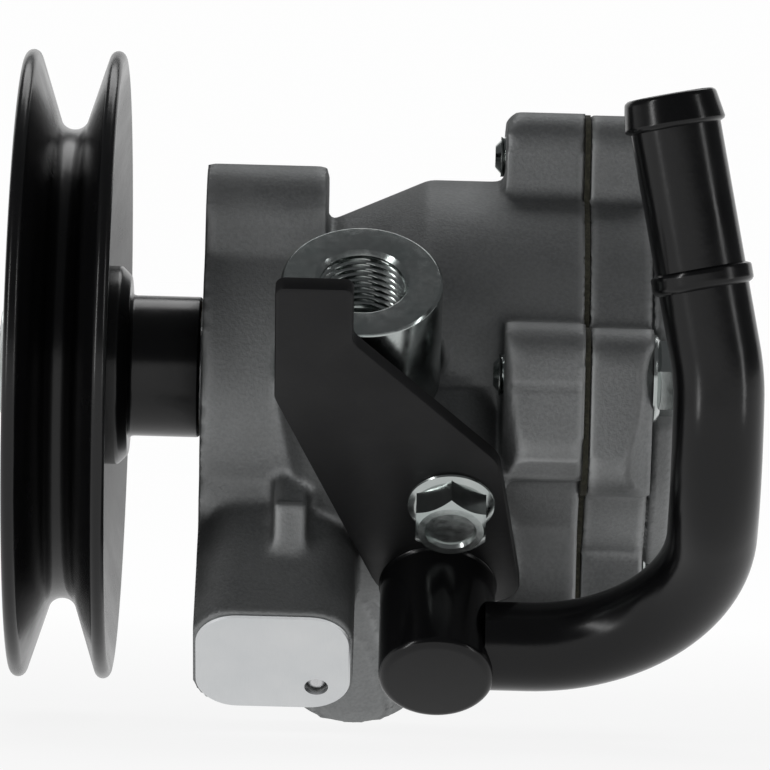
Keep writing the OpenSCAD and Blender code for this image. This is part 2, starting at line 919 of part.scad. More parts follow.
module flow_valve_spool() {
    color("silver") on_valve() rotate_extrude() difference() {
        step(0, spool_r, spool_bottom, spool_top);
        step(spool_waist_r, spool_r + past, spool_bottom + spring_pocket_l, spool_top - spool_land);
        step(0, spring_pocket_r, spool_bottom - past, spring_top);
        step(0, spool_oil_r, spool_top - spool_oil_l, spool_top + past);
    }
}

// Coil spring as a wire carried round a helix
module coil(l) {
    steps = spring_turns * spring_steps;
    rise = l - 2 * spring_wire_r;
    points = [
        for (i = [0 : steps], k = [0 : spring_sides - 1])
            let (
                a = 360 * i / spring_steps,
                b = 360 * k / spring_sides,
                r = spring_r + spring_wire_r * cos(b)
            )
            [r * cos(a), r * sin(a), spring_wire_r + rise * i / steps + spring_wire_r * sin(b)]
    ];
    sides = [
        for (i = [0 : steps - 1], k = [0 : spring_sides - 1])
            let (next = (k + 1) % spring_sides)
            [
                i * spring_sides + k, (i + 1) * spring_sides + k,
                (i + 1) * spring_sides + next, i * spring_sides + next
            ]
    ];
    first = [for (k = [0 : spring_sides - 1]) k];
    last = [for (k = [0 : spring_sides - 1]) steps * spring_sides + spring_sides - 1 - k];
    polyhedron(points = points, faces = concat(sides, [first, last]));
}

module flow_valve_spring() {
    color("darkgray") on_valve() translate([0, 0, valve_bore_floor]) coil(spring_top - valve_bore_floor);
}

module suction_plate() {
    color([0.16, 0.16, 0.16]) on_suction()
        translate([0, 0, seat_reach]) linear_extrude(plate_t) difference() {
            plate_outline();
            translate(stub_at) circle(inlet_r);
            translate(suction_bolt_at) circle(bolt_hole_r);
        }
}

// Places the start of the pipe on the stub axis, heading along the shaft
module at_pipe_start() {
    on_suction() translate([stub_x, stub_t, pipe_height]) rotate([90, 0, 90]) children();
}

module suction_stub() {
    color([0.12, 0.12, 0.12]) difference() {
        on_suction() translate([stub_x, stub_t, plate_top]) rotate_extrude() difference() {
            rounded_outline(
                [[0, 0], [stub_d / 2, 0], [stub_d / 2, stub_l], [0, stub_l]],
                [0, 0, stub_round, 0]);
            step(0, stub_d / 2 - pipe_wall, -past, stub_l - stub_cap_t);
        }
        at_pipe_start() cylinder(r = pipe_bore_r, h = stub_d);
    }
}

// Bend that starts along Z and turns towards X
module bend(radius, angle, r) {
    translate([radius, 0, 0]) rotate([90, 0, 180])
        rotate_extrude(angle = angle) translate([radius, 0]) circle(r);
}

// Places children at the end of a bend
module after_bend(radius, angle) {
    translate([radius * (1 - cos(angle)), 0, radius * sin(angle)]) rotate([0, angle, 0]) children();
}

// Straight that laps a little way into the bends before and after it
module straight(l, r, lap_before, lap_after) {
    translate([0, 0, -lap_before]) cylinder(r = r - bend_ease, h = l + lap_before + lap_after);
}

// Route of the pipe as a solid of radius r, with its free end drawn out by extra
module pipe_route(r, extra) {
    at_pipe_start() {
        straight(run_out, r, 0, bend_lap);
        translate([0, 0, run_out]) {
            bend(first_bend_r, first_bend, r);
            after_bend(first_bend_r, first_bend) {
                straight(link_l, r, bend_lap, bend_lap);
                translate([0, 0, link_l]) rotate([0, 0, -90]) {
                    bend(upright_bend_r, upright_bend, r);
                    after_bend(upright_bend_r, upright_bend) rotate([0, 0, 90]) {
                        straight(lean_link_l, r, bend_lap, bend_lap);
                        translate([0, 0, lean_link_l]) {
                            bend(lean_bend_r, nipple_lean, r);
                            after_bend(lean_bend_r, nipple_lean) {
                                straight(nipple_l + extra, r, bend_lap, 0);
                                if (extra == 0) hose_beads();
                            }
                        }
                    }
                }
            }
        }
    }
}

// Barb at the nipple's end and the rolled bead that stops the hose
module hose_beads() {
    rotate_extrude() {
        polygon([
            [bead_root_r, nipple_l - barb_l], [bead_r, nipple_l - barb_l],
            [bead_r, nipple_l - barb_l + barb_land],
            [pipe_r + barb_tip, nipple_l - barb_land], [bead_root_r, nipple_l - barb_land]
        ]);
        rounded_outline(
            [
                [bead_root_r, hose_bead_at], [bead_r, hose_bead_at],
                [bead_r, hose_bead_at + hose_bead_l], [bead_root_r, hose_bead_at + hose_bead_l]
            ],
            [0, bead_round, bead_round, 0]);
    }
}

module suction_pipe() {
    color([0.1, 0.1, 0.1]) difference() {
        pipe_route(pipe_r, 0);
        pipe_route(pipe_bore_r, past);
        on_suction() translate([stub_x, stub_t, plate_top]) cylinder(d = stub_d, h = stub_l + pipe_d);
    }
}

module suction_seal() {
    color([0.12, 0.12, 0.12]) on_suction()
        translate([stub_x, stub_t, seat_reach - suction_seal_r]) rotate_extrude()
            translate([suction_seal_at, 0]) circle(suction_seal_r);
}

module suction_bolt() {
    color("lightgray") on_suction()
        translate(suction_bolt_at) translate([0, 0, plate_top]) flange_bolt(suction_bolt_l);
}

module gallery_plug() {
    color("dimgray") on_suction() translate([gallery_x, gallery_t, lug_reach - gallery_depth])
        cylinder(r = gallery_r, h = gallery_depth - plug_sink);
}

housing();
rear_cover();
cover_gasket();
cover_bolts();
pulley_front_half();
pulley_rear_half();
pulley_hub();
pulley_nut();
pulley_washer();
shaft_key();
drive_shaft();
bearing_outer_race();
bearing_inner_race();
bearing_balls();
bearing_cage();
bearing_ring();
shaft_seal();
shaft_bush();
rear_bush();
side_plate();
cam_ring();
rotor();
rotor_clip();
dowel_pins();
outlet_union();
union_seal();
flow_valve_spool();
flow_valve_spring();
suction_plate();
suction_stub();
suction_pipe();
suction_seal();
suction_bolt();
gallery_plug();
for (i = [0 : vane_count - 1])
    vane(i);
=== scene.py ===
"""Looks of the power steering pump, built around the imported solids.

Sizes are in millimetres until a mesh is made.
"""

import math

import bmesh
import bpy
import numpy as np
from mathutils import Matrix, Vector


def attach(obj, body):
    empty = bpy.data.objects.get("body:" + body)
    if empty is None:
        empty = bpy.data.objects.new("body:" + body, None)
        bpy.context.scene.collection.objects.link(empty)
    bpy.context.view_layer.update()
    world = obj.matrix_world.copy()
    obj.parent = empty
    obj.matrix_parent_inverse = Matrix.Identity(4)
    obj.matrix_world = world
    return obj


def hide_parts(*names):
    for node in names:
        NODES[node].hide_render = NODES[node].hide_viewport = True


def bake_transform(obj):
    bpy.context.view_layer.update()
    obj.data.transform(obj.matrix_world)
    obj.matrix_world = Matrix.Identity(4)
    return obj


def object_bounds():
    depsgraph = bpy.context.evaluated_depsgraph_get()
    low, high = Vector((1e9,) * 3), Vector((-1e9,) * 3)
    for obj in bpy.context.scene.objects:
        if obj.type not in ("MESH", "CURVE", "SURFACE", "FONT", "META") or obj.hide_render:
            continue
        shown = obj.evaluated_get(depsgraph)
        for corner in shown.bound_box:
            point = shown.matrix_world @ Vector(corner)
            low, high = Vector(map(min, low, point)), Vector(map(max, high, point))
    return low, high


MM = 0.001
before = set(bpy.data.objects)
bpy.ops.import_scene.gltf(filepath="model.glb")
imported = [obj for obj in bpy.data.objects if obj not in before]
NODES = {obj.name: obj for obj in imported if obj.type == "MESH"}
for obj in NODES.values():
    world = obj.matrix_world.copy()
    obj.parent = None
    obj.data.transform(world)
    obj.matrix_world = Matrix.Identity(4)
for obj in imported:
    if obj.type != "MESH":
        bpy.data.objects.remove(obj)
cad_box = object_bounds()
scene = bpy.context.scene

# Axes shared with the solids
VALVE_TILT = math.radians(43)
SUCTION_TILT = math.radians(137)
VALVE_X, VALVE_DEPTH = 30.8, 30
VALVE_AXIS = Matrix.Rotation(VALVE_TILT, 4, "X") @ Matrix.Translation((VALVE_X, -VALVE_DEPTH, 0))
SUCTION = Matrix.Rotation(SUCTION_TILT, 4, "X")
SHAFT = Matrix(((0, 0, 1, 0), (1, 0, 0, 0), (0, 1, 0, 0), (0, 0, 0, 1)))
STUB = (47, -7.1)
SUCTION_BOLT = (49, 17)
PLATE_TOP = 50
SEAT = 47


# Materials


class Finish:
    """A material made from nodes, with a Principled shader at its end."""

    def __init__(self, name, base, rough, metallic=0.0, **sockets):
        self.mat = bpy.data.materials.new(name)
        self.mat.use_nodes = True
        self.tree = self.mat.node_tree
        self.tree.nodes.clear()
        out = self.add("ShaderNodeOutputMaterial")
        self.shader = self.add("ShaderNodeBsdfPrincipled")
        self.link(self.shader.outputs["BSDF"], out.inputs["Surface"])
        self.shader.inputs["Base Color"].default_value = (*base, 1)
        self.shader.inputs["Roughness"].default_value = rough
        self.shader.inputs["Metallic"].default_value = metallic
        for name_of, value in sockets.items():
            self.shader.inputs[name_of.replace("_", " ")].default_value = value
        self.place = self.add("ShaderNodeTexCoord").outputs["Object"]
        self.height = None

    def add(self, kind):
        return self.tree.nodes.new(kind)

    def link(self, a, b):
        self.tree.links.new(a, b)

    def stretch(self, scale):
        node = self.add("ShaderNodeMapping")
        node.inputs["Scale"].default_value = scale
        self.link(self.place, node.inputs["Vector"])
        return node.outputs["Vector"]

    def noise(self, scale, detail=3, rough=0.55, at=None):
        node = self.add("ShaderNodeTexNoise")
        node.inputs["Scale"].default_value = scale
        node.inputs["Detail"].default_value = detail
        node.inputs["Roughness"].default_value = rough
        self.link(at or self.place, node.inputs["Vector"])
        return node.outputs["Fac"]

    def span(self, value, low, high, new_low, new_high):
        node = self.add("ShaderNodeMapRange")
        node.inputs["From Min"].default_value = low
        node.inputs["From Max"].default_value = high
        node.inputs["To Min"].default_value = new_low
        node.inputs["To Max"].default_value = new_high
        self.link(value, node.inputs["Value"])
        return node.outputs["Result"]

    def blend(self, factor, a, b):
        node = self.add("ShaderNodeMix")
        node.data_type = "RGBA"
        colours = [s for s in node.inputs if s.type == "RGBA"]
        for socket, value in zip(colours, (a, b)):
            if isinstance(value, tuple):
                socket.default_value = (*value, 1)
            else:
                self.link(value, socket)
        self.link(factor, node.inputs[0])
        return [s for s in node.outputs if s.type == "RGBA"][0]

    def add_up(self, a, b, weight):
        node = self.add("ShaderNodeMath")
        node.operation = "MULTIPLY_ADD"
        self.link(b, node.inputs[0])
        node.inputs[1].default_value = weight
        self.link(a, node.inputs[2])
        return node.outputs["Value"]

    def colour(self, value):
        self.link(value, self.shader.inputs["Base Color"])

    def roughness(self, value):
        self.link(value, self.shader.inputs["Roughness"])

    def bump(self, value, depth, strength=1.0):
        node = self.add("ShaderNodeBump")
        node.inputs["Distance"].default_value = depth
        node.inputs["Strength"].default_value = strength
        self.link(value, node.inputs["Height"])
        if self.height:
            self.link(self.height, node.inputs["Normal"])
        self.height = node.outputs["Normal"]
        self.link(self.height, self.shader.inputs["Normal"])

    def attribute(self, name):
        node = self.add("ShaderNodeAttribute")
        node.attribute_name = name
        return node.outputs["Fac"]


def cast_aluminium():
    f = Finish("cast_aluminium", (0.25, 0.255, 0.256), 0.6, 1.0, Specular_Tint=(0.35, 0.35, 0.35, 1))
    cloud = f.span(f.noise(45, 4), 0.3, 0.7, 0, 1)
    grain = f.noise(1500, 2, 0.6)
    skin = f.blend(cloud, (0.2, 0.206, 0.208), (0.24, 0.245, 0.245))
    skin = f.blend(f.span(grain, 0.35, 0.65, 0, 0.6), skin, (0.29, 0.296, 0.296))
    # Painted highlight: the casting's colour is lightened towards pale grey along its convex edges; on
    # the housing the machined rim at the rear face, a real lighter strip, is lightened the same way.
    edge = f.span(f.attribute("edge"), 0.0, 1.0, 0.0, 0.5)
    f.colour(f.blend(edge, skin, (0.42, 0.427, 0.428)))
    f.roughness(f.span(f.add_up(cloud, grain, 0.6), 0.2, 1.3, 0.54, 0.7))
    f.bump(f.noise(260, 3), 0.00025, 0.25)
    f.bump(grain, 0.00014, 0.6)
    return f.mat


def machined_aluminium():
    f = Finish("machined_aluminium", (0.62, 0.63, 0.64), 0.36, 1.0)
    marks = f.noise(40, 3, 0.6, f.stretch((90, 8, 8)))
    cloud = f.noise(70, 3)
    f.colour(f.blend(f.span(cloud, 0.3, 0.7, 0, 1), (0.59, 0.605, 0.615), (0.64, 0.65, 0.655)))
    f.roughness(f.span(marks, 0.25, 0.75, 0.32, 0.44))
    f.bump(marks, 0.00003, 0.5)
    return f.mat


def zinc_steel():
    f = Finish("zinc_steel", (0.42, 0.45, 0.44), 0.3, 1.0)
    tint = f.span(f.noise(120, 3), 0.3, 0.7, 0, 1)
    plate = f.noise(700, 3)
    f.colour(f.blend(tint, (0.37, 0.41, 0.4), (0.46, 0.48, 0.47)))
    f.roughness(f.span(plate, 0.3, 0.7, 0.15, 0.25))
    f.bump(plate, 0.00002, 0.5)
    return f.mat


def black_coat(name, base, low, high, peel, shine):
    f = Finish(name, base, (low + high) / 2, 0.0, IOR=1.5, Specular_IOR_Level=shine)
    cloud = f.noise(90, 3)
    dust = f.span(f.noise(1800, 2, 0.7), 0.55, 0.8, 0, 0.35)
    lift = tuple(c * 1.7 + 0.004 for c in base)
    f.colour(f.blend(dust, base, lift))
    f.roughness(f.span(cloud, 0.3, 0.7, low, high))
    f.bump(f.noise(420, 2), peel, 0.5)
    return f.mat


def gasket_paper():
    f = Finish("gasket_paper", (0.035, 0.033, 0.022), 0.9)
    fibre = f.noise(300, 4, 0.7, f.stretch((2, 6, 6)))
    fleck = f.span(f.noise(1400, 2), 0.45, 0.7, 0, 1)
    paper = f.blend(f.span(fibre, 0.3, 0.7, 0, 1), (0.018, 0.018, 0.011), (0.04, 0.038, 0.024))
    f.colour(f.blend(fleck, paper, (0.07, 0.066, 0.044)))
    f.roughness(f.span(fibre, 0.2, 0.8, 0.8, 0.97))
    f.bump(fibre, 0.0001, 0.6)
    return f.mat


def ground_steel():
    f = Finish("ground_steel", (0.56, 0.56, 0.57), 0.25, 1.0)
    lines = f.noise(60, 3, 0.6, f.stretch((60, 4, 4)))
    f.colour(f.blend(f.span(lines, 0.3, 0.7, 0, 1), (0.5, 0.5, 0.51), (0.62, 0.62, 0.63)))
    f.roughness(f.span(lines, 0.25, 0.75, 0.18, 0.34))
    f.bump(lines, 0.00003, 0.4)
    return f.mat


def bush_bronze():
    f = Finish("bush_bronze", (0.55, 0.38, 0.2), 0.35, 1.0)
    cloud = f.noise(200, 3)
    f.colour(f.blend(f.span(cloud, 0.3, 0.7, 0, 1), (0.5, 0.33, 0.16), (0.62, 0.44, 0.24)))
    f.roughness(f.span(f.noise(1500, 2), 0.3, 0.7, 0.28, 0.45))
    f.bump(cloud, 0.00003, 0.4)
    return f.mat


def seal_rubber():
    f = Finish("seal_rubber", (0.03, 0.02, 0.015), 0.6)
    cloud = f.noise(400, 3)
    f.colour(f.blend(f.span(cloud, 0.3, 0.7, 0, 1), (0.022, 0.016, 0.012), (0.045, 0.03, 0.022)))
    f.roughness(f.span(cloud, 0.3, 0.7, 0.5, 0.7))
    f.bump(f.noise(2200, 2), 0.00004, 0.5)
    return f.mat


CAST = cast_aluminium()
MACHINED = machined_aluminium()
ZINC = zinc_steel()
PULLEY = black_coat("black_pulley", (0.007, 0.007, 0.0075), 0.2, 0.28, 0.00005, 0.35)
PIPE = black_coat("black_pipe", (0.006, 0.006, 0.0065), 0.17, 0.25, 0.00004, 0.28)
PLATE = black_coat("black_plate", (0.009, 0.009, 0.0095), 0.42, 0.56, 0.0001, 0.25)
GASKET = gasket_paper()
STEEL = ground_steel()
BRONZE = bush_bronze()
RUBBER = seal_rubber()


# Mesh tools


def mesh_object(name, points, faces, mats, body, smooth=32):
    """Makes a piece from points in millimetres, smooth up to an angle, and puts it on its body."""
    mesh = bpy.data.meshes.new(name)
    mesh.from_pydata([tuple(p[k] * MM for k in range(3)) for p in points], [], faces)
    return dress(name, mesh, mats, body, smooth)


def dress(name, mesh, mats, body, smooth=32):
    work = bmesh.new()
    work.from_mesh(mesh)
    bmesh.ops.remove_doubles(work, verts=work.verts, dist=1e-7)
    bmesh.ops.recalc_face_normals(work, faces=work.faces)
    for face in work.faces:
        face.smooth = True
    limit = math.radians(smooth)
    for edge in work.edges:
        edge.smooth = len(edge.link_faces) == 2 and edge.calc_face_angle(0) < limit
    work.to_mesh(mesh)
    work.free()
    mesh.materials.clear()
    for mat in mats:
        mesh.materials.append(mat)
    obj = bpy.data.objects.new(name, mesh)
    scene.collection.objects.link(obj)
    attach(obj, body)
    return obj


def soften(points, radii, steps=5, closed=True, share=0.48):
    """The outline with its corners rounded to the given radii, within a share of their sides."""
    n = len(points)
    result = []
    for i, p in enumerate(points):
        r = radii[i] if isinstance(radii, (list, tuple)) else radii
        end = not closed and i in (0, n - 1)
        if end or r <= 0:
            result.append(tuple(p))
            continue
        p = Vector(p)
        to_a = (Vector(points[i - 1]) - p)
        to_b = (Vector(points[(i + 1) % n]) - p)
        reach_a, reach_b = to_a.length, to_b.length
        to_a.normalize()
        to_b.normalize()
        half = math.acos(max(-1, min(1, to_a.dot(to_b)))) / 2
        if abs(half - math.pi / 2) < 0.01:
            result.append(tuple(p))
            continue
        back = min(r / math.tan(half), share * reach_a, share * reach_b)
        r = back * math.tan(half)
        middle = p + (to_a + to_b).normalized() * (r / math.sin(half))
        one = p + to_a * back - middle
        two = p + to_b * back - middle
        turn = math.atan2(one.x * two.y - one.y * two.x, one.dot(two))
        for k in range(steps + 1):
            c, s = math.cos(turn * k / steps), math.sin(turn * k / steps)
            result.append((middle.x + one.x * c - one.y * s, middle.y + one.x * s + one.y * c))
    return result


def lathe(profile, place, around=96, closed=True):
    """Points and faces of a profile of radius and height turned round the Z axis of a place."""
    points, faces = [], []
    n = len(profile)
    for k in range(around):
        a = 2 * math.pi * k / around
        for r, z in profile:
            points.append(place @ Vector((r * math.cos(a), r * math.sin(a), z)))
    for k in range(around):
        m = (k + 1) % around
        for i in range(n if closed else n - 1):
            j = (i + 1) % n
            faces.append((k * n + i, m * n + i, m * n + j, k * n + j))
    return points, faces


def turned_piece(name, profile, place, mats, body, around=96, closed=True):
    points, faces = lathe(profile, place, around, closed)
    return mesh_object(name, points, faces, mats, body)


def join(points, faces, more):
    """Adds the points and faces of another shape."""
    start = len(points)
    points.extend(more[0])
    faces.extend(tuple(i + start for i in face) for face in more[1])


def inset(outline, by):
    """The outline, given anticlockwise, moved inwards."""
    n = len(outline)
    result = []
    for i in range(n):
        a, p, b = Vector(outline[i - 1]), Vector(outline[i]), Vector(outline[(i + 1) % n])
        along = ((p - a).normalized() + (b - p).normalized()).normalized()
        result.append((p.x - along.y * by, p.y + along.x * by))
    return result


def add_threads(points, faces, place, r, depth, pitch, z1, z2, around=64, inside=True):
    """A screw thread between two heights, cut outwards from radius r, or standing inside it."""
    rows = max(2, int((z2 - z1) / pitch * 8))
    start = len(points)
    for i in range(rows + 1):
        z = z1 + (z2 - z1) * i / rows
        fade = min(1.0, i / 6, (rows - i) / 6)
        for k in range(around):
            phase = (z / pitch - k / around) % 1.0
            rise = 1 - abs(2 * phase - 1)
            rise = min(1.0, max(0.0, rise * 1.5 - 0.25)) * fade
            radius = r + depth * rise if inside else r - depth * rise
            a = 2 * math.pi * k / around
            points.append(place @ Vector((radius * math.cos(a), radius * math.sin(a), z)))
    for i in range(rows):
        for k in range(around):
            m = (k + 1) % around
            one, two = start + i * around, start + (i + 1) * around
            faces.append((one + k, one + m, two + m, two + k))


# Casting: the solid is drawn anew as one skin, so that its corners take the rounds of a mould

# How far each round of smoothing draws a point in, on outer edges and in hollows
EDGE_EASE, HOLLOW_EASE = 0.2, 0.42


def neighbours_mean(co, edges, count):
    total = np.zeros_like(co)
    np.add.at(total, edges[:, 0], co[edges[:, 1]])
    np.add.at(total, edges[:, 1], co[edges[:, 0]])
    return total / count[:, None]


def mesh_points(mesh):
    co = np.empty(len(mesh.vertices) * 3)
    mesh.vertices.foreach_get("co", co)
    return co.reshape(-1, 3)


def set_points(mesh, co):
    mesh.vertices.foreach_set("co", co.ravel())


def vertex_normals(mesh):
    normal = np.empty(len(mesh.vertices) * 3)
    mesh.vertices.foreach_get("normal", normal)
    return normal.reshape(-1, 3)


def recast(node, voxel, rounds, planes, relief=None):
    """Mesh of a node with soft hollows and small edge rounds. Points on the given planes stay there."""
    draft = bpy.data.objects.new("draft", NODES[node].data.copy())
    scene.collection.objects.link(draft)
    skin = draft.modifiers.new("skin", "REMESH")
    skin.mode = "VOXEL"
    skin.voxel_size = voxel * MM
    bpy.context.view_layer.update()
    mesh = bpy.data.meshes.new_from_object(draft.evaluated_get(bpy.context.evaluated_depsgraph_get()))
    bpy.data.objects.remove(draft)
    co = mesh_points(mesh) / MM
    edges = np.empty(len(mesh.edges) * 2, int)
    mesh.edges.foreach_get("vertices", edges)
    edges = edges.reshape(-1, 2)
    count = np.maximum(1, np.bincount(edges.ravel(), minlength=len(co)))
    held = [(np.array(n), d, np.abs(co @ np.array(n) - d) < 0.45 * voxel) for n, d in planes]
    soft = np.ones(len(co))
    for n, d, _ in held:
        soft = np.minimum(soft, np.clip(np.abs(co @ n - d) / (3 * voxel), 0.2, 1))
    normal = vertex_normals(mesh)
    for _ in range(rounds):
        move = neighbours_mean(co, edges, count) - co
        outer = np.einsum("ij,ij->i", move, normal) < 0
        co += (np.where(outer, EDGE_EASE, HOLLOW_EASE) * soft)[:, None] * move
        for n, d, on in held:
            co[on] -= np.outer(co[on] @ n - d, n)
    set_points(mesh, co * MM)
    mesh.update()
    normal = vertex_normals(mesh)
    if relief is not None:
        co += normal * relief(co, normal)[:, None]
        set_points(mesh, co * MM)
    # An edge value for each point, high on convex edges, where the casting's colour is lightened as
    # painted highlight.
    bend = np.einsum("ij,ij->i", co - neighbours_mean(co, edges, count), normal)
    for _ in range(2):
        bend = 0.5 * bend + 0.5 * neighbours_mean(bend[:, None], edges, count)[:, 0]
    edge = np.clip((bend - 0.012) / 0.06, 0, 1).astype(np.float32)
    mesh.attributes.new("edge", "FLOAT", "POINT").data.foreach_set("value", edge)
    return mesh


def face_centres(mesh):
    centre = np.empty(len(mesh.polygons) * 3)
    normal = np.empty(len(mesh.polygons) * 3)
    mesh.polygons.foreach_get("center", centre)
    mesh.polygons.foreach_get("normal", normal)
    return centre.reshape(-1, 3) / MM, normal.reshape(-1, 3)


def paint(obj, mask):
    """Gives the masked faces the second material."""
    obj.data.polygons.foreach_set("material_index", mask.astype(np.int32))
    obj.data.update()


OUT = np.array((0, -math.sin(SUCTION_TILT), math.cos(SUCTION_TILT)))
X_AXIS = np.array((1.0, 0, 0))
PAD = 70.5
GALLERY = (23.9, -14.5)
REAR = 74
COVER = 75
COVER_END = 87.2
CROWN_HIGHER, CROWN_WIDER = 1, 2.6
BOLT_R, BOLT_CLEAR = 43.5, 9.5
GALLERY_R = 2.3


def parting_line(co, normal):
    """A fine trimmed line where the two halves of the mould met, on the outside of the barrel."""
    depth = np.clip(1 - (np.abs(co[:, 2] + 2.4) / 0.7) ** 2, 0, 1) * 0.3
    outside = (np.hypot(co[:, 1], co[:, 2]) > 35.6) & (np.abs(normal[:, 0]) < 0.7)
    return -depth * outside * (co[:, 0] > 24)


def build_housing():
    planes = [(X_AXIS, 0), (X_AXIS, REAR), (OUT, PAD), (OUT, SEAT)]
    mesh = recast("housing", 0.9, 5, planes, parting_line)
    co = mesh_points(mesh)
    above = np.clip(co @ OUT - (PAD - 0.7) * MM, 0, None)
    set_points(mesh, co - np.outer(above, OUT))
    # The edge value, painted highlight on convex edges, gains the machined rim at the rear face and is
    # cleared on the lug near the pad.
    edge = np.empty(len(co), np.float32)
    mesh.attributes["edge"].data.foreach_get("value", edge)
    rim = np.clip((co[:, 0] / MM - REAR + 1.3) / 0.5, 0, 1).astype(np.float32)
    edge[co @ OUT > (PAD - 4) * MM] = 0
    mesh.attributes["edge"].data.foreach_set("value", np.maximum(edge, rim))
    obj = dress("housing_casting", mesh, (CAST, MACHINED), "pump", 180)
    at, normal = face_centres(obj.data)
    out, radius = at @ OUT, np.hypot(at[:, 1], at[:, 2])
    flat = np.abs(normal[:, 0]) > 0.9
    cut = flat & ((at[:, 0] < 0.3) | (at[:, 0] > REAR - 0.3))
    inward = at[:, 1] * normal[:, 1] + at[:, 2] * normal[:, 2] < -0.3 * radius
    floor = flat & (at[:, 0] > 2) & (at[:, 0] < 50) & (np.abs(at[:, 0] - 31) > 9)
    cut |= (radius < 33.4) & (inward | floor) & (out < 40)
    paint(obj, cut)
    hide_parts("housing")


def build_pad():
    """Milled face of the side lug, with its edge broken and the gallery's mouth drilled through."""
    low, high, left, right = -21, 5.6, 0.5, 30.4
    rim = soften([(left, low), (right, low), (right, high), (left, high)], 8, 12)
    turns = np.linspace(0, 2 * math.pi, 48, False)
    hole = [(GALLERY[0] + GALLERY_R * math.cos(a), GALLERY[1] + GALLERY_R * math.sin(a)) for a in turns]
    work = bmesh.new()

    def ring(outline, z):
        return [work.verts.new(SUCTION @ Vector((x, y, z)) * MM) for x, y in outline]

    def band(one, two):
        for k in range(len(one)):
            m = (k + 1) % len(one)
            work.faces.new((one[k], one[m], two[m], two[k]))

    foot, shoulder, top = ring(rim, PAD - 1.2), ring(rim, PAD - 0.35), ring(inset(rim, 0.35), PAD)
    mouth, depth = ring(hole, PAD), ring(hole, PAD - 4)
    band(foot, shoulder)
    band(shoulder, top)
    band(mouth, depth)
    loops = []
    for verts in (top, mouth):
        loops.extend(work.edges.get((verts[k], verts[(k + 1) % len(verts)])) for k in range(len(verts)))
    bmesh.ops.triangle_fill(work, edges=loops, use_beauty=True)
    mesh = bpy.data.meshes.new("side_pad")
    work.to_mesh(mesh)
    work.free()
    dress("side_pad_milled", mesh, (MACHINED,), "pump", 25)


def swell_crown(co):
    """Points of the cover with its raised middle a little higher, and wider between the bolts."""
    above = co[:, 0] - COVER_END
    reach = np.hypot(co[:, 1], co[:, 2])
    turn = np.round(np.arctan2(co[:, 2], co[:, 1]) / (math.pi / 2)) * (math.pi / 2)
    bolt = np.hypot(co[:, 1] - BOLT_R * np.cos(turn), co[:, 2] - BOLT_R * np.sin(turn))
    clear = np.clip((bolt - BOLT_CLEAR) / 4, 0, 1)
    wide = np.clip(above, 0, 1) * clear * np.clip((reach - 26) / 8, 0, 1) * CROWN_WIDER
    co[:, 1:] *= (1 + wide / np.maximum(reach, 1))[:, None]
    co[:, 0] += np.clip((above - 1) / 2, 0, 1) * CROWN_HIGHER
    return co


def build_cover():
    planes = [(X_AXIS, COVER), (X_AXIS, COVER_END), (X_AXIS, COVER_END + 4)]
    mesh = recast("rear_cover", 0.85, 5, planes)
    set_points(mesh, swell_crown(mesh_points(mesh) / MM) * MM)
    obj = dress("rear_cover_casting", mesh, (CAST, MACHINED), "pump", 180)
    at, normal = face_centres(obj.data)
    paint(obj, (normal[:, 0] < -0.9) | ((np.hypot(at[:, 1], at[:, 2]) < 33.2) & (at[:, 0] < COVER)))
    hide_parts("rear_cover")


# Pulley, hub and the nut on the shaft

BELT_LINE = 27.35
SHEET = 3
PULLEY_R = 62.5
GROOVE_DEPTH = 15.8
GROOVE_R = PULLEY_R - GROOVE_DEPTH
GROOVE_HALF = math.radians(18)
GROOVE_FLAT = 2.2
SPIGOT_R = 12
SHAFT_R = 8
HUB_R, HUB_NECK_R = 19.75, 14
HUB_END = -15.1


def build_pulley():
    along = Vector((math.cos(GROOVE_HALF), math.sin(GROOVE_HALF)))
    behind = Vector((-along.y, along.x))
    foot = Vector((GROOVE_R, GROOVE_FLAT))
    wall = (GROOVE_DEPTH - SHEET / 2 * (1 - along.y)) / along.x
    tip = foot + along * wall
    heel = foot + behind * SHEET + along * ((SHEET * (1 - along.x) - GROOVE_FLAT) / along.y)
    lip = [tip + behind * (SHEET / 2) * (1 - math.cos(a)) + along * (SHEET / 2) * math.sin(a)
           for a in np.linspace(0, math.pi, 11)]
    outline = [(SPIGOT_R, 0), (GROOVE_R, 0), foot, *lip, heel, (SPIGOT_R, SHEET)]
    profile = soften([tuple(p) for p in outline], [0, 0, 3.2, *[0] * len(lip), 3, 0], 8, share=0.97)
    for name, side in (("pulley_rear_half", 1), ("pulley_front_half", -1)):
        shape = [(r, -BELT_LINE + side * x) for r, x in profile]
        piece = turned_piece(name + "_pressed", shape, SHAFT, (PULLEY,), "drive", 160)
        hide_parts(name)


def build_hub():
    front, back = -BELT_LINE - SHEET, -BELT_LINE + SHEET
    outline = [
        (SHAFT_R, front), (SPIGOT_R, front), (SPIGOT_R, back), (HUB_R, back), (HUB_R, HUB_END - 2),
        (HUB_R - 2, HUB_END), (HUB_NECK_R, HUB_END), (HUB_NECK_R, -1), (SHAFT_R, -1),
    ]
    shape = soften(outline, [0.4, 0, 0, 0, 1.2, 1.2, 1, 0.6, 0.4], 4)
    hub = turned_piece("pulley_hub_turned", shape, SHAFT, (PULLEY,), "drive", 128)
    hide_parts("pulley_hub")


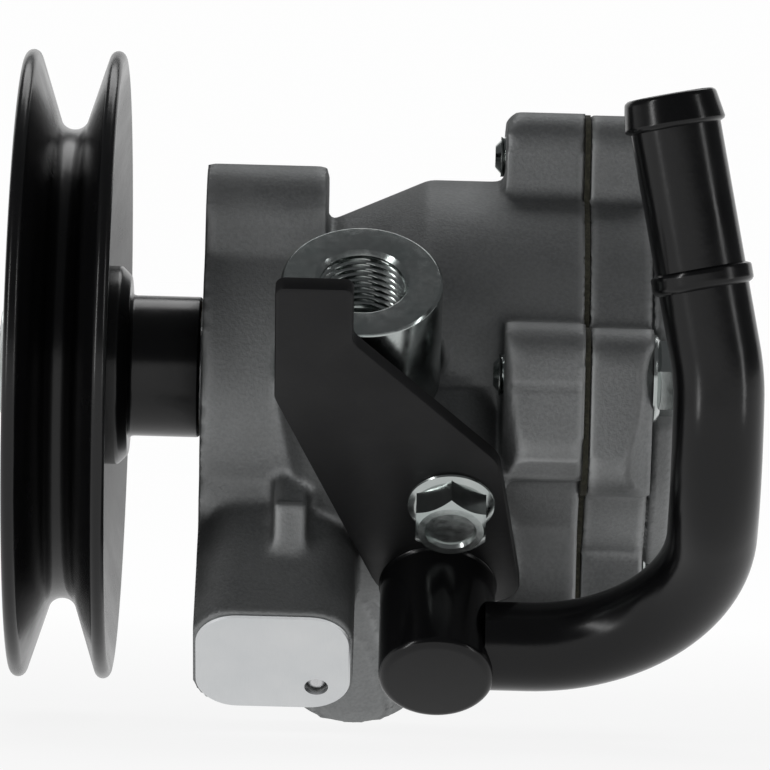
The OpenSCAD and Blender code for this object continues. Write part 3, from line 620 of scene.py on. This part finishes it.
def hex_prism(flats, low, high, chamfer, hole, place, dish=0.0):
    """Points and faces of a hexagon head with a turned chamfer, a hole or a dish."""
    around = 72
    points, faces = [], []
    rings = []
    across = flats / 2

    def hexagon(a):
        return across / math.cos((a + math.pi / 6) % (math.pi / 3) - math.pi / 6)

    def ring(radius_at, height_at):
        rings.append(len(points))
        for k in range(around):
            a = 2 * math.pi * k / around
            r = radius_at(a)
            points.append(place @ Vector((r * math.cos(a), r * math.sin(a), height_at(a))))

    def crown(a):
        return high - (hexagon(a) - across * 0.96) * chamfer

    ring(lambda a: hole if hole else 0.01, lambda a: low)
    ring(hexagon, lambda a: low)
    ring(hexagon, crown)
    ring(lambda a: across * 0.95, lambda a: high)
    if dish:
        ring(lambda a: across * 0.74, lambda a: high)
        ring(lambda a: across * 0.68, lambda a: high - dish)
        ring(lambda a: 0.01, lambda a: high - dish)
    else:
        ring(lambda a: hole + 0.6, lambda a: high)
        ring(lambda a: hole, lambda a: high - 0.6)
    closed = 0 if dish else 1
    for i in range(len(rings) - 1 + closed):
        one, two = rings[i], rings[(i + 1) % len(rings)]
        for k in range(around):
            m = (k + 1) % around
            faces.append((one + k, one + m, two + m, two + k))
    return points, faces


def build_nut():
    thick, bore, rim = 2.5, 7, 15
    front = -BELT_LINE - SHEET - thick
    place = SHAFT @ Matrix.Translation((0, 0, front)) @ Matrix.Rotation(math.pi, 4, "X")
    points, faces = hex_prism(21, 0, 8, 0.6, bore, place)
    nut = mesh_object("pulley_nut_hex", points, faces, (ZINC,), "drive")
    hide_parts("pulley_nut")
    shape = soften([(bore, front), (rim, front), (rim, front + thick), (bore, front + thick)], 0.5, 3)
    washer = turned_piece("pulley_washer_round", shape, SHAFT, (ZINC,), "drive", 72)
    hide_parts("pulley_washer")


# Bolts

SHANK_R, NECK = 4, 1.5


def bolt_mesh(place, length):
    """A flange bolt: threaded shank, dished flange and hexagon head."""
    points, faces = [], []
    flange = [(SHANK_R, 0), (8.4, 0), (8.5, 0.35), (8.35, 0.7), (7.5, 1.3), (7, 1.5), (5.6, 1.6)]
    parts = [lathe(flange, place, 72, False)]
    parts.append(hex_prism(13.4, 1, 7.4, 0.85, 0, place, 0.8))
    tip = [(0.01, -length), (2.2, -length), (3.5, -length + 1.2)]
    parts.append(lathe(tip, place, 48, False))
    for more in parts:
        join(points, faces, more)
    add_threads(points, faces, place, SHANK_R, 0.55, 1.25, -length + 1.1, -NECK, 48, False)
    join(points, faces, lathe([(SHANK_R, -NECK), (SHANK_R, 0)], place, 48, False))
    return points, faces


def build_bolts():
    points, faces = [], []
    for k in range(4):
        a = math.radians(90 * k)
        place = Matrix.Translation((COVER_END, BOLT_R * math.cos(a), BOLT_R * math.sin(a))) @ SHAFT
        place = place @ Matrix.Rotation(0.6 * k + 0.2, 4, "Z")
        join(points, faces, bolt_mesh(place, 30.7))
    bolts = mesh_object("cover_bolts_zinc", points, faces, (ZINC,), "pump", 28)
    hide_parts("cover_bolts")
    place = SUCTION @ Matrix.Translation((*SUCTION_BOLT, PLATE_TOP))
    points, faces = bolt_mesh(place, 16.5)
    bolt = mesh_object("suction_bolt_zinc", points, faces, (ZINC,), "pump", 28)
    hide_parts("suction_bolt")


# Pressure union with its thread

UNION_SEAT, UNION_MOUTH = 26, 51.5
UNION_R, UNION_CORE_R, UNION_THREAD = 15.5, 8.2, 15
UNION_OIL_R, SPIGOT, SEAL_R = 4, 9.5, 7.9


def build_union():
    spigot = UNION_SEAT - 16
    floor = UNION_MOUTH - UNION_THREAD
    outer = [
        (UNION_OIL_R, spigot), (SPIGOT, spigot), (SPIGOT, 20.9), (SEAL_R, 20.9), (SEAL_R, 23.1),
        (SPIGOT, 23.1), (SPIGOT, UNION_SEAT),
        (UNION_R, UNION_SEAT), (UNION_R, UNION_MOUTH - 0.5), (UNION_R - 0.5, UNION_MOUTH),
        (UNION_CORE_R + 0.9, UNION_MOUTH), (UNION_CORE_R, UNION_MOUTH - 0.9),
    ]
    radii = [0.4, 0.4, 0, 0, 0, 0, 0, 0.6, 0.2, 0.2, 0.2, 0]
    shape = soften(outer, radii, 3, closed=False)
    points, faces = lathe(shape, VALVE_AXIS, 128, False)
    add_threads(points, faces, VALVE_AXIS, UNION_CORE_R, 0.8, 1.5, floor, UNION_MOUTH - 0.9, 128)
    oil_way = [
        (UNION_CORE_R, floor), (6, floor - 0.01), (UNION_OIL_R, floor - 1.6), (UNION_OIL_R, spigot),
    ]
    join(points, faces, lathe(oil_way, VALVE_AXIS, 128, False))
    union = mesh_object("outlet_union_zinc", points, faces, (ZINC,), "pump")
    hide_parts("outlet_union")


def build_spring():
    """Spring of the flow valve, which the spool presses on, as a fixed copy of its solid in ground steel.
    """
    mesh = NODES["flow_valve_spring"].data.copy()
    mesh.materials.clear()
    mesh.materials.append(STEEL)
    coil = bpy.data.objects.new("flow_valve_spring_coil", mesh)
    scene.collection.objects.link(coil)
    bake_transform(coil)
    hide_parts("flow_valve_spring")


# Suction plate, stub and pipe


def build_plate():
    corners = [
        (14.8, 75.3), (14.8, 44.9), (STUB[0] - 9.6, STUB[1] - 7.4), (STUB[0] + 16.6, STUB[1] - 3.9),
        (STUB[0] + 11, STUB[1] + 35.5), (29.5, 61), (29.5, 75.3),
    ]
    outline = soften(corners, [2, 6, 12, 5, 9, 4, 2], 8)
    levels = [(0.0, SEAT), (0.0, PLATE_TOP - 0.6), (0.18, PLATE_TOP - 0.18), (0.6, PLATE_TOP)]
    points, faces = [], []
    n = len(outline)
    for by, z in levels:
        points.extend(SUCTION @ Vector((x, y, z)) for x, y in inset(outline, by))
    for i in range(len(levels) - 1):
        for k in range(n):
            m = (k + 1) % n
            faces.append((i * n + k, i * n + m, (i + 1) * n + m, (i + 1) * n + k))
    faces.append(tuple(range((len(levels) - 1) * n, len(levels) * n)))
    faces.append(tuple(reversed(range(n))))
    plate = mesh_object("suction_plate_pressed", points, faces, (PLATE,), "pump", 25)
    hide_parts("suction_plate")


def build_stub():
    place = SUCTION @ Matrix.Translation((*STUB, PLATE_TOP))
    r, end = 11.2, 24.6
    outline = [(0.01, 0), (11.6, 0), (11.4, 0.3), (r, 0.8), (r, end), (0.01, end)]
    shape = soften(outline, [0, 0.1, 0.3, 0.4, 1.8, 0], 6, closed=False)
    stub = turned_piece("suction_stub_capped", shape, place, (PIPE,), "pump", 96, False)
    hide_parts("suction_stub")


PIPE_R, PIPE_BORE = 8.6, 7.1
PIPE_HEIGHT = 65.2


def pipe_route():
    """Places along the middle of the pipe, each with its Z axis along it, and the length so far."""
    at = SUCTION @ Matrix.Translation((*STUB, PIPE_HEIGHT)) @ SHAFT
    at = at @ Matrix.Translation((0, 0, 9.2))
    stations = []
    length = 0.0

    def straight(l, steps):
        nonlocal at, length
        for _ in range(steps):
            stations.append((at.copy(), length))
            at = at @ Matrix.Translation((0, 0, l / steps))
            length += l / steps

    def bend(r, angle, steps):
        nonlocal at, length
        turn = math.radians(angle / steps)
        for _ in range(steps):
            stations.append((at.copy(), length))
            shift = Matrix.Translation((r * (1 - math.cos(turn)), 0, r * math.sin(turn)))
            at = at @ shift @ Matrix.Rotation(turn, 4, "Y")
            length += r * turn

    def roll(angle):
        nonlocal at
        at = at @ Matrix.Rotation(math.radians(angle), 4, "Z")

    straight(8.3, 4)
    bend(34, 90, 32)
    straight(3, 2)
    roll(-90)
    bend(30, 47, 18)
    roll(90)
    straight(1.5, 2)
    bend(45, 11.5, 8)
    straight(49.2, 123)
    stations.append((at.copy(), length))
    return stations


def hose_grip(back):
    """Height over the pipe of the barb at its end and of the rolled bead, by distance from the end."""
    barb = 0.0
    if back >= 5.9:
        barb = 1.05 * max(0.0, 1 - (back - 5.9) / 0.4)
    elif back >= 0.4:
        barb = 0.15 + 0.9 * (back - 0.4) / 5.5
    u = abs(back - 35.1) / 1.9
    roll = 1.05 * math.sqrt(1 - max(0.0, u - 0.55) ** 2 / 0.2025) if u < 1 else 0.0
    return max(barb, roll)


def build_pipe():
    stations = pipe_route()
    full = stations[-1][1]
    around = 72
    rings = []
    for at, s in stations:
        back = full - s
        r = PIPE_R + hose_grip(back)
        if back < 0.5:
            r -= 0.5 - back
        rings.append((at, r))
    for at, s in reversed(stations):
        back = full - s
        rings.append((at, PIPE_BORE + (0.5 if back < 0.5 else 0)))
    points = []
    for at, r in rings:
        for k in range(around):
            a = 2 * math.pi * k / around
            points.append(at @ Vector((r * math.cos(a), r * math.sin(a), 0)))
    faces = []
    seam = pipe_seams(rings, around, points)
    for i in range(len(rings) - 1):
        for k in range(around):
            m = (k + 1) % around
            a, b = seam[i], seam[i + 1]
            faces.append((i * around + (k + a) % around, i * around + (m + a) % around,
                          (i + 1) * around + (m + b) % around, (i + 1) * around + (k + b) % around))
    pipe = mesh_object("suction_pipe_bent", points, faces, (PIPE,), "pump", 40)
    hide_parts("suction_pipe")


def pipe_seams(rings, around, points):
    """For each ring, which of its points carries on the line of the ring before."""
    seam = [0]
    for i in range(1, len(rings)):
        last = points[(i - 1) * around + seam[-1]] - rings[i - 1][0].translation
        dots = [last.dot(points[i * around + k] - rings[i][0].translation) for k in range(around)]
        seam.append(int(np.argmax(dots)))
    return seam


# Steel ball that closes the oil gallery in the pad


def build_plug():
    place = SUCTION @ Matrix.Translation((*GALLERY, PAD))
    ball = GALLERY_R - 0.05
    turns = np.linspace(0, 1.55, 12)
    dome = [(GALLERY_R, -3.2)] + [(ball * math.cos(a), -2.7 + ball * math.sin(a)) for a in turns]
    plug = turned_piece("gallery_plug_ball", dome, place, (STEEL,), "pump", 40, False)
    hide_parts("gallery_plug")


build_housing()
build_pad()
build_cover()
build_pulley()
build_hub()
build_nut()
build_bolts()
build_union()
build_spring()
build_plate()
build_stub()
build_pipe()
build_plug()

# Solids that stay, with their finish
KEPT = {
    GASKET: ("cover_gasket",),
    STEEL: (
        "drive_shaft", "shaft_key", "bearing_outer_race", "bearing_inner_race", "bearing_balls",
        "bearing_ring", "side_plate", "cam_ring", "rotor", "rotor_clip", "dowel_pins", "flow_valve_spool",
        *(f"vane_{i}" for i in range(1, 11)),
    ),
    BRONZE: ("shaft_bush", "rear_bush", "bearing_cage"),
    RUBBER: ("shaft_seal", "union_seal", "suction_seal"),
}
for mat, names in KEPT.items():
    for name in names:
        NODES[name].data.materials.clear()
        NODES[name].data.materials.append(mat)


# Floor, backdrop, light and camera


def pale(name, colour, near, far):
    """Pale paper, white to the camera and in metal, and a little less near the pump for its shadow."""
    mat = bpy.data.materials.new(name)
    mat.use_nodes = True
    tree = mat.node_tree
    tree.nodes.clear()
    out = tree.nodes.new("ShaderNodeOutputMaterial")
    mix = tree.nodes.new("ShaderNodeMixShader")
    matt = tree.nodes.new("ShaderNodeBsdfDiffuse")
    white = tree.nodes.new("ShaderNodeEmission")
    path = tree.nodes.new("ShaderNodeLightPath")
    matt.inputs["Color"].default_value = (*colour, 1)
    white.inputs["Color"].default_value = (1, 1, 1, 1)
    white.inputs["Strength"].default_value = 1
    seen = path.outputs["Is Camera Ray"]
    for ray in ("Is Glossy Ray", "Is Transmission Ray"):
        most = tree.nodes.new("ShaderNodeMath")
        most.operation = "MAXIMUM"
        tree.links.new(seen, most.inputs[0])
        tree.links.new(path.outputs[ray], most.inputs[1])
        seen = most.outputs["Value"]
    away = tree.nodes.new("ShaderNodeVectorMath")
    away.operation = "LENGTH"
    tree.links.new(tree.nodes.new("ShaderNodeNewGeometry").outputs["Position"], away.inputs[0])
    glow = tree.nodes.new("ShaderNodeMapRange")
    for socket, value in zip(("From Min", "From Max", "To Min", "To Max"), (0.12, 0.6, near, far)):
        glow.inputs[socket].default_value = value
    tree.links.new(away.outputs["Value"], glow.inputs["Value"])
    part = tree.nodes.new("ShaderNodeMath")
    part.operation = "MULTIPLY"
    tree.links.new(glow.outputs["Result"], part.inputs[1])
    tree.links.new(seen, part.inputs[0])
    tree.links.new(part.outputs["Value"], mix.inputs["Fac"])
    tree.links.new(matt.outputs["BSDF"], mix.inputs[1])
    tree.links.new(white.outputs["Emission"], mix.inputs[2])
    tree.links.new(mix.outputs["Shader"], out.inputs["Surface"])
    return mat


def stage_mesh(name, points, faces, mat):
    mesh = bpy.data.meshes.new(name)
    mesh.from_pydata(points, [], faces)
    mesh.materials.append(mat)
    obj = bpy.data.objects.new(name, mesh)
    scene.collection.objects.link(obj)


def build_stage(level):
    """A round floor that sweeps up into a backdrop: high behind the pump, a low rim all round."""
    reach, parts, sweep = 3.2, 96, 8
    points, faces = [(0, 0, level)], []
    for k in range(parts):
        a = 2 * math.pi * k / parts
        behind = min(1, max(0, (math.sin(a) - 0.62) / 0.12))
        height = 0.34 + 1.3 * behind * behind * (3 - 2 * behind)
        for i in range(sweep + 1):
            turn = math.pi / 2 * i / sweep
            r, z = reach - 0.3 + 0.3 * math.sin(turn), level + 0.3 * (1 - math.cos(turn))
            points.append((r * math.cos(a), r * math.sin(a), z))
        points.append((reach * math.cos(a), reach * math.sin(a), level + height))
    n = sweep + 2
    for k in range(parts):
        one, two = 1 + k * n, 1 + (k + 1) % parts * n
        faces.append((0, one, two))
        faces.extend((one + i, one + i + 1, two + i + 1, two + i) for i in range(n - 1))
    stage_mesh("floor", points, faces, pale("paper", (0.86, 0.86, 0.86), 0.88, 0.985))


def area_lamp(name, place, target, size, watts):
    data = bpy.data.lights.new(name, "AREA")
    data.shape = "RECTANGLE"
    data.size, data.size_y = size
    data.energy = watts
    lamp = bpy.data.objects.new(name, data)
    lamp.location = place
    lamp.rotation_euler = (Vector(target) - Vector(place)).to_track_quat("-Z", "Y").to_euler()
    scene.collection.objects.link(lamp)


build_stage(cad_box[0].z - 0.0003)
area_lamp("strip", (-0.93, -0.8, 0.15), (0.04, 0, 0), (0.12, 1.1), 5)
area_lamp("side", (1.15, -0.57, 0.25), (0.04, 0, 0), (0.12, 0.9), 2)
area_lamp("back", (0.1, 0.9, 1.3), (0.03, 0, 0), (1.2, 0.8), 8)

world = bpy.data.worlds.new("studio")
world.use_nodes = True
world.node_tree.nodes["Background"].inputs["Color"].default_value = (0.105, 0.107, 0.11, 1)
world.node_tree.nodes["Background"].inputs["Strength"].default_value = 1
scene.world = world
scene.view_settings.view_transform = "Standard"

camera_data = bpy.data.cameras.new("camera")
camera_data.sensor_width = 36
camera_data.lens = 311.9
camera_data.clip_end = 20
camera = bpy.data.objects.new("camera", camera_data)
level = Matrix.Rotation(math.radians(90), 4, "X")
roll = Matrix.Rotation(math.radians(1.5), 4, "Z")
camera.matrix_world = Matrix.Translation((0.0357, -1.33, -0.0026)) @ level @ roll
scene.collection.objects.link(camera)
scene.camera = camera
